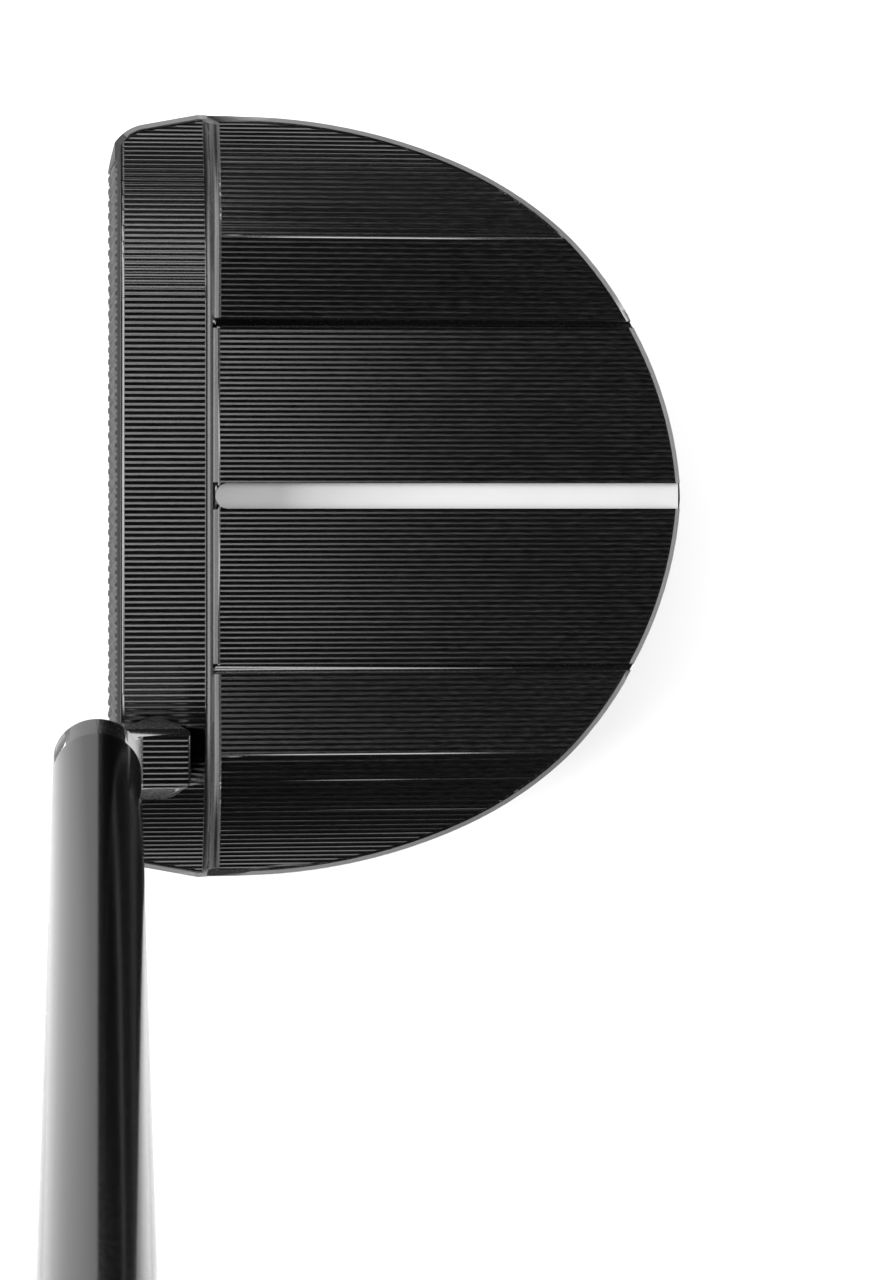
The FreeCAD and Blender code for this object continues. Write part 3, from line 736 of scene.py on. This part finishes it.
def groove_depth(y, z):
    """Depth of the deeper of the two crossing grooves at a point of the face."""
    bow = ARC_RADIUS - sqrt(ARC_RADIUS ** 2 - (z - ARC_MIDDLE) ** 2)
    depth = 0.0
    for direction in (1, -1):
        across = (((y - direction * bow) / ARC_SPACING) % 1.0 - 0.5) * ARC_SPACING
        depth = max(depth, GROOVE_DEPTH * (1 - (across / GROOVE_HALF_WIDTH) ** 2))
    return depth


# %% Mill the face
FACE_FOOT_X = -35.7
FACE_SKIM = 0.012
FACE_Z, FACE_Y = (0.7, 24.1), (-41.6, 41.6)
PLAIN_FACE_X = -34

face_tool = grid_slab("face_passes", 26, 420, FACE_Z, FACE_Y)
for vertex in face_tool.data.vertices:
    z, y, lifted = vertex.co
    backward = -3.0 if is_top(lifted) else FACE_SKIM + groove_depth(y, z)
    vertex.co = Vector((FACE_FOOT_X + z * tan(LOFT) + backward, y, z)) * MM
faces_outward(face_tool)
cut(head, dress(face_tool, black_face))
refinish(head, black_face, lambda face, now: face.normal.x < -0.99 and face.center.x < PLAIN_FACE_X * MM)
smooth(head, 22)
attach(head, "root")
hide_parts("head_body")

# %% [markdown]
# ## The neck
# The offset neck is bent and milled from one bar. Its flat top behind the shaft carries the same
# cutter rows as the head, inside a narrow plain margin, so it is cut with the same kind of tool.

# %% Mill the top of the neck
NECK_TOP = 38.8
NECK_ROWS_X, NECK_ROWS_Y = (-31.7, -26.45), (-36.2, -27.95)
NECK_PITCH = 0.649

neck = dress(copy_of("plumber_neck", "milled_neck"), black_neck)
cut(neck, passes("neck_passes", NECK_ROWS_X, NECK_ROWS_Y, NECK_PITCH, lambda y: NECK_TOP))
smooth(neck, 22)
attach(neck, "root")
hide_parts("plumber_neck")

# %% [markdown]
# ## Tubes in the lie of the club
# The shaft and the grip share one slanting axis. They are easiest to build upright, with heights
# measured along the axis, and then laid over. A tube grows ring by ring: a ring of edges is
# extruded up and, where the tube gets wider, scaled. The wall is given its thickness last, inward,
# once the faces look outward.

# %% Grow a tube, give it a wall, lay it over
SHAFT_FOOT = Vector((-37, -32, 41)) * MM
LEAN = radians(20)
LIE_FRAME = Matrix.Translation(SHAFT_FOOT) @ Matrix.Rotation(LEAN, 4, "X")


def into_the_lie(piece):
    """Move an upright piece onto the shaft's axis, and leave its place in its mesh."""
    piece.matrix_world = LIE_FRAME @ piece.matrix_world
    return settle(piece)


def extrude_up(millimetres, widen=1.0):
    bpy.ops.mesh.extrude_region_move(TRANSFORM_OT_translate={"value": (0, 0, millimetres * MM)})
    if widen != 1.0:
        bpy.ops.transform.resize(value=(widen, widen, 1))


def give_wall(tube, thickness):
    """Turn an upright tube's faces outward, and thicken it inward."""
    choose_all(tube)
    bpy.ops.mesh.normals_make_consistent(inside=False)
    object_mode()
    first = tube.data.polygons[0]
    if first.normal.xy.dot(first.center.xy) < 0:
        flip(tube)
    wall = tube.modifiers.new("wall", "SOLIDIFY")
    wall.thickness = thickness * MM
    wall.offset = -1
    return apply_modifiers(tube)


# %% [markdown]
# ## The stepped shaft
# The shaft is a steel tube drawn in steps, each a little wider than the one below. It could be one
# profile spun round, but growing it ring by ring follows how such a tube is really made: a circle
# the size of the tip is extruded up to the first step, widened over a short cone, and extruded on.
# It stays open at both ends, as the real one is.

# %% Draw the shaft up, step by step
TIP_RADIUS, SHAFT_WALL, SHAFT_LENGTH = 5.08, 0.55, 820
FIRST_STEP, STEP_PITCH, STEP_COUNT = 165, 45, 8
STEP_RISE, STEP_CONE = 0.3175, 0.6
ROUND_POINTS = 96

nothing_selected()
bpy.ops.mesh.primitive_circle_add(vertices=ROUND_POINTS, radius=TIP_RADIUS * MM, fill_type="NOTHING")
shaft = name_it("stepped_shaft")
bpy.ops.object.mode_set(mode="EDIT")
bpy.ops.mesh.select_mode(type="EDGE")
bpy.ops.mesh.select_all(action="SELECT")
extrude_up(FIRST_STEP)
radius, height = TIP_RADIUS, FIRST_STEP
step_ends = [FIRST_STEP + STEP_PITCH * step for step in range(1, STEP_COUNT)] + [SHAFT_LENGTH]
for step_end in step_ends:
    extrude_up(STEP_CONE, (radius + STEP_RISE) / radius)
    radius += STEP_RISE
    extrude_up(step_end - height - STEP_CONE)
    height = step_end
object_mode()
give_wall(shaft, SHAFT_WALL)
into_the_lie(shaft)
dress(shaft, black_shaft)
smooth(shaft, 35)
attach(shaft, "root")
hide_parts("shaft")
print("shaft: butt radius", round(radius, 3), "mm, faces", len(shaft.data.polygons))

# %% [markdown]
# ## Pips pressed into the rubber
# The grip's pattern of small pips comes from its mould. Thousands of real pips would be heavy and
# would look no better at this size, so the shape is modelled and the pips are bump. Two waves, one
# along the grip and one across it, are multiplied, and only the tops of the product are kept. They
# are read in the grip's own leaning frame, so that the rows run along it.

# %% Add pips to a finish
PIP_PITCH, PIP_HEIGHT = 2.4, 0.25
PIP_EDGE_LOW, PIP_EDGE_HIGH = 0.1, 0.6


def pressed_pattern(material):
    """Add rows of small pips above a finish's own grain."""
    tree = material.node_tree
    shader = tree.nodes["Principled BSDF"]
    grain_bump = shader.inputs["Normal"].links[0].from_node
    where = next(node for node in tree.nodes if node.type == "TEX_COORD")
    turn = tree.nodes.new("ShaderNodeMapping")
    turn.vector_type = "POINT"
    turn.inputs["Rotation"].default_value = (-LEAN, 0, 0)
    tree.links.new(where.outputs["Object"], turn.inputs["Vector"])
    split = tree.nodes.new("ShaderNodeSeparateXYZ")
    tree.links.new(turn.outputs["Vector"], split.inputs["Vector"])

    def wave(axis):
        scaled = tree.nodes.new("ShaderNodeMath")
        scaled.operation = "MULTIPLY"
        scaled.inputs[1].default_value = 2 * pi / (PIP_PITCH * MM)
        sine = tree.nodes.new("ShaderNodeMath")
        sine.operation = "SINE"
        tree.links.new(split.outputs[axis], scaled.inputs[0])
        tree.links.new(scaled.outputs[0], sine.inputs[0])
        return sine.outputs[0]

    product = tree.nodes.new("ShaderNodeMath")
    product.operation = "MULTIPLY"
    tree.links.new(wave("Z"), product.inputs[0])
    tree.links.new(wave("X"), product.inputs[1])
    pips = tree.nodes.new("ShaderNodeMapRange")
    pips.interpolation_type = "SMOOTHSTEP"
    pips.inputs["From Min"].default_value = PIP_EDGE_LOW
    pips.inputs["From Max"].default_value = PIP_EDGE_HIGH
    tree.links.new(product.outputs[0], pips.inputs["Value"])
    bump = tree.nodes.new("ShaderNodeBump")
    bump.inputs["Distance"].default_value = PIP_HEIGHT * MM
    tree.links.new(pips.outputs["Result"], bump.inputs["Height"])
    tree.links.new(grain_bump.outputs["Normal"], bump.inputs["Normal"])
    tree.links.new(bump.outputs["Normal"], shader.inputs["Normal"])


pressed_pattern(grip_skin)
print("grip skin: pips every", PIP_PITCH, "mm,", PIP_HEIGHT, "mm high")

# %% [markdown]
# ## The grip's skin
# The grip is a moulded rubber skin: round at the back, with a flat along the front for the thumbs,
# slim down to its waist and fuller towards the butt. Lofting drawn sections would do it, and so
# does a ring that is extruded from station to station and scaled at each. Then the front of every
# ring is pressed flat. The skin gets its wall like the shaft, and its sharp edges are softened.

# %% A tube through stations, with a flat
def grip_tube(name, stations):
    """A tube through (height, radius, flat) stations, round but for its flat, before its wall."""
    previous_height, previous_radius, _ = stations[0]
    nothing_selected()
    bpy.ops.mesh.primitive_circle_add(vertices=ROUND_POINTS, radius=previous_radius * MM,
                                      fill_type="NOTHING", location=(0, 0, previous_height * MM))
    tube = settle(name_it(name))
    choose(tube, "edges", lambda a, b: True)
    for height, radius, _ in stations[1:]:
        extrude_up(height - previous_height, radius / previous_radius)
        previous_height, previous_radius = height, radius
    object_mode()
    for height, _, flat in stations:
        for vertex in tube.data.vertices:
            if abs(vertex.co.z - height * MM) < 1e-6:
                vertex.co.y = min(vertex.co.y, flat * MM)
    return tube


# %% Mould the skin
SKIN_START, SKIN_END, WAIST_SHARE = 566.0, 817.0, 0.55
WAIST = SKIN_START + WAIST_SHARE * (SKIN_END - SKIN_START)
MOUTH_RADIUS, WAIST_RADIUS, BUTT_RADIUS = 10.2, 11.2, 13.4
WAIST_FLAT, BUTT_FLAT = 9.6, 9.9
SKIN_WALL, SKIN_SOFTNESS, SKIN_LENGTHS = 1.6, 0.5, 14


def grip_section(height):
    """(height, radius, flat): nearly parallel up to the waist, then widening to the butt."""
    if height <= WAIST:
        part = (height - SKIN_START) / (WAIST - SKIN_START)
        return height, MOUTH_RADIUS + part * (WAIST_RADIUS - MOUTH_RADIUS), WAIST_FLAT
    part = (height - WAIST) / (SKIN_END - WAIST)
    radius = WAIST_RADIUS + part * (BUTT_RADIUS - WAIST_RADIUS)
    return height, radius, WAIST_FLAT + part * (BUTT_FLAT - WAIST_FLAT)


skin_length = SKIN_END - SKIN_START
skin_heights = [SKIN_START + k / SKIN_LENGTHS * skin_length for k in range(SKIN_LENGTHS + 1)]
skin = grip_tube("grip_skin_moulding", [grip_section(height) for height in skin_heights])
give_wall(skin, SKIN_WALL)
soften = skin.modifiers.new("soft edges", "BEVEL")
soften.width = SKIN_SOFTNESS * MM
soften.segments = 3
soften.limit_method = "ANGLE"
soften.angle_limit = radians(50)
apply_modifiers(skin)
into_the_lie(skin)
dress(skin, grip_skin)
smooth(skin, 40)
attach(skin, "root")
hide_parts("grip_cover")
print("grip skin:", skin_length, "mm long, faces", len(skin.data.polygons))

# %% [markdown]
# ## The butt cap
# The cap closes the grip at the top. It is a solid plug with the skin's outline and a rounded
# corner, dished in the middle round a small vent hole, through which air leaves when the grip is
# pushed on. A bevel breaks up where the flat meets the round, so the corner is a few more
# stations, and the dish and the hole are faces extruded down and made narrower.

# %% Mould the cap
CAP_TOP = 822.0
CAP_CORNER = ((5.0, 0.0), (1.0, 0.0), (0.55, 0.12), (0.2, 0.42), (0.0, 0.9))
CAP_DISH = ((-0.4, 0.76), (-0.01, 0.5), (-1.5, 0.94))

cap_stations = [(CAP_TOP - below, BUTT_RADIUS - inward, BUTT_FLAT - inward) for below, inward in CAP_CORNER]
cap = grip_tube("grip_butt_cap", cap_stations)
high, low = (CAP_TOP - 0.1) * MM, (SKIN_END + 0.1) * MM
choose(cap, "edges", lambda a, b: min(a.z, b.z) > high)
bpy.ops.mesh.edge_face_add()
for down, narrower in CAP_DISH:
    extrude_up(down, narrower)
choose(cap, "edges", lambda a, b: max(a.z, b.z) < low)
bpy.ops.mesh.edge_face_add()
bpy.ops.mesh.select_all(action="SELECT")
bpy.ops.mesh.normals_make_consistent(inside=False)
object_mode()
into_the_lie(cap)
dress(cap, grip_trim)
smooth(cap, 40)
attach(cap, "root")
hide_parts("grip_cap")
print("butt cap: faces", len(cap.data.polygons))

# %% [markdown]
# ## The sole plate, its screws and the weights
# These are simple turned and milled pieces, so they start from the frame's solids, which already
# have their driver slots and sockets. What is missing is what a lathe or mill leaves: broken edges
# that catch the light. The merged copies get a fine bevel on every sharp edge.

# %% Break the edges of the small metal pieces
def broken_edges(node_name, piece_name, width, material):
    piece = copy_of(node_name, piece_name)
    bevel = piece.modifiers.new("broken edges", "BEVEL")
    bevel.width = width * MM
    bevel.segments = 2
    bevel.limit_method = "ANGLE"
    bevel.angle_limit = radians(40)
    apply_modifiers(piece)
    dress(piece, material)
    smooth(piece, 30)
    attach(piece, "root")
    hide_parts(node_name)
    print(f"  {piece_name}: {len(piece.data.polygons)} faces")
    return piece


broken_edges("sole_plate", "milled_sole_plate", 0.2, dark_steel)
broken_edges("sole_plate_screws", "sole_screws", 0.08, screw_steel)
for end in ("toe", "heel"):
    broken_edges(end + "_weight", end + "_sole_weight", 0.25, weight_metal)

# %% [markdown]
# ## Pieces of the frame that are already the right shape
# The paint in the sight line, the pad and washers under the sole, the neck's bolt, the glue, the
# tape, the foam and the mouth ring need no work on their shape, so the frame's own solids are shown
# and only get a finish. The solids that a finer piece stands in for are dressed the same way.

# %% Dress the frame's own solids
node_finishes = {
    "head_body": black_milled,
    "sight_line_paint": white_paint,
    "damping_pad": pad_rubber,
    "sole_plate": dark_steel,
    "sole_plate_screws": screw_steel,
    "toe_weight": weight_metal,
    "toe_weight_washer": nylon,
    "heel_weight": weight_metal,
    "heel_weight_washer": nylon,
    "plumber_neck": black_neck,
    "neck_bolt": screw_steel,
    "shaft_epoxy": epoxy,
    "shaft": black_shaft,
    "grip_tape": tape,
    "grip_underlisting": foam,
    "grip_cover": grip_skin,
    "grip_mouth_ring": grip_trim,
    "grip_cap": grip_trim,
}
for node_name, material in node_finishes.items():
    dress(nodes[node_name], material)
print("solids dressed:", len(node_finishes), "of", len(nodes))

# %% [markdown]
# ## The floor
# The club stands on a wide, plain, pale floor that catches its soft shadow. It is one big square
# under the sole. A low view from the side still shows its far edge, well behind the club.

# %% Lay the floor
FLOOR_SIDE = 8

nothing_selected()
bpy.ops.mesh.primitive_plane_add(size=FLOOR_SIDE)
floor = name_it("studio_floor")
dress(floor, finish("pale_floor", greys(0.86, 0.88), (0.6, 0.7), NOT_METAL, (200, 2), 0.01))
print("floor:", FLOOR_SIDE, "m square")

# %% [markdown]
# ## The lights
# Dark metal shows only what it mirrors, so the lights are placed for their reflections. Two big
# ones stand low in front of and behind the head. They light the floor, and the troughs, which run
# along X, cannot mirror them upward. A weak one overhead, towards the toe, is what the troughs do
# mirror: each shows it as one thin bright line, and that draws the milling.

# %% Three softboxes
def softbox(name, place, target, width, height, power):
    """A rectangular light in metres and watts, turned to look at a target."""
    nothing_selected()
    bpy.ops.object.light_add(type="AREA", location=place)
    lamp = bpy.context.object
    lamp.name = name
    lamp.data.shape = "RECTANGLE"
    lamp.data.size, lamp.data.size_y = width, height
    lamp.data.energy = power
    lamp.rotation_euler = (Vector(target) - Vector(place)).to_track_quat("-Z", "Y").to_euler()
    print(f"  {name}: {width} x {height} m, {power} W")
    return lamp


softbox("overhead_key", (-0.33, 0.47, 1.05), (-0.33, 0.47, 0), 0.8, 0.56, 4.0)
softbox("front_light", (-1.3, 0.1, 0.8), (0, 0, 0), 1.6, 0.8, 56)
softbox("rear_light", (1.3, 0.1, 0.8), (0, 0, 0), 2.4, 1.3, 58)

# %% [markdown]
# ## The room
# The rest of what the metal mirrors is the room. It is a plain grey that darkens towards the
# ceiling, so that flats which look straight up stay black, and sides which look outward show a
# soft grey. One ramp over the height does it. The picture is shown without a film curve, so that
# the pale floor comes out as plain as it is.

# %% Darken the room towards the ceiling
HORIZON_GREY, CEILING_GREY, CEILING_HEIGHT = 0.15, 0.01, 0.8

world = bpy.data.worlds.new("studio")
bpy.context.scene.world = world
world.use_nodes = True
tree = world.node_tree
sky = tree.nodes["Background"]
where = tree.nodes.new("ShaderNodeTexCoord")
split = tree.nodes.new("ShaderNodeSeparateXYZ")
ramp = tree.nodes.new("ShaderNodeValToRGB")
tree.links.new(where.outputs["Generated"], split.inputs["Vector"])
tree.links.new(split.outputs["Z"], ramp.inputs["Fac"])
tree.links.new(ramp.outputs["Color"], sky.inputs["Color"])
horizon, ceiling = ramp.color_ramp.elements
horizon.color = (HORIZON_GREY, HORIZON_GREY, HORIZON_GREY, 1)
ceiling.color = (CEILING_GREY, CEILING_GREY, CEILING_GREY, 1)
ceiling.position = CEILING_HEIGHT
sky.inputs["Strength"].default_value = 1.0
bpy.context.scene.view_settings.view_transform = "Standard"
print("room: grey", HORIZON_GREY, "at the horizon,", CEILING_GREY, "overhead")

# %% [markdown]
# ## The camera
# The club is seen from above, as by the player who stands over it: the camera hangs over the middle
# of the face and looks almost straight down. The head and the shaft are brought into the picture by
# shifting it sideways rather than by turning the camera, so that what is level keeps its true shape.

# %% Hang the camera
CAMERA_PLACE = Vector((-36.94, -0.32, 365.09)) * MM
CAMERA_TURN = (0.0496, -3.5131, 0.0051)
SENSOR_WIDTH, FOCAL_LENGTH = 36, 79.02
SHIFT_X, SHIFT_Y = 0.135, -0.1125

nothing_selected()
bpy.ops.object.camera_add(location=CAMERA_PLACE, rotation=[radians(angle) for angle in CAMERA_TURN])
camera = bpy.context.object
camera.data.lens = FOCAL_LENGTH
camera.data.sensor_width = SENSOR_WIDTH
camera.data.shift_x = SHIFT_X
camera.data.shift_y = SHIFT_Y
camera.data.clip_start = 0.01
bpy.context.scene.camera = camera
print("camera:", round(CAMERA_PLACE.z / MM), "mm above the floor")
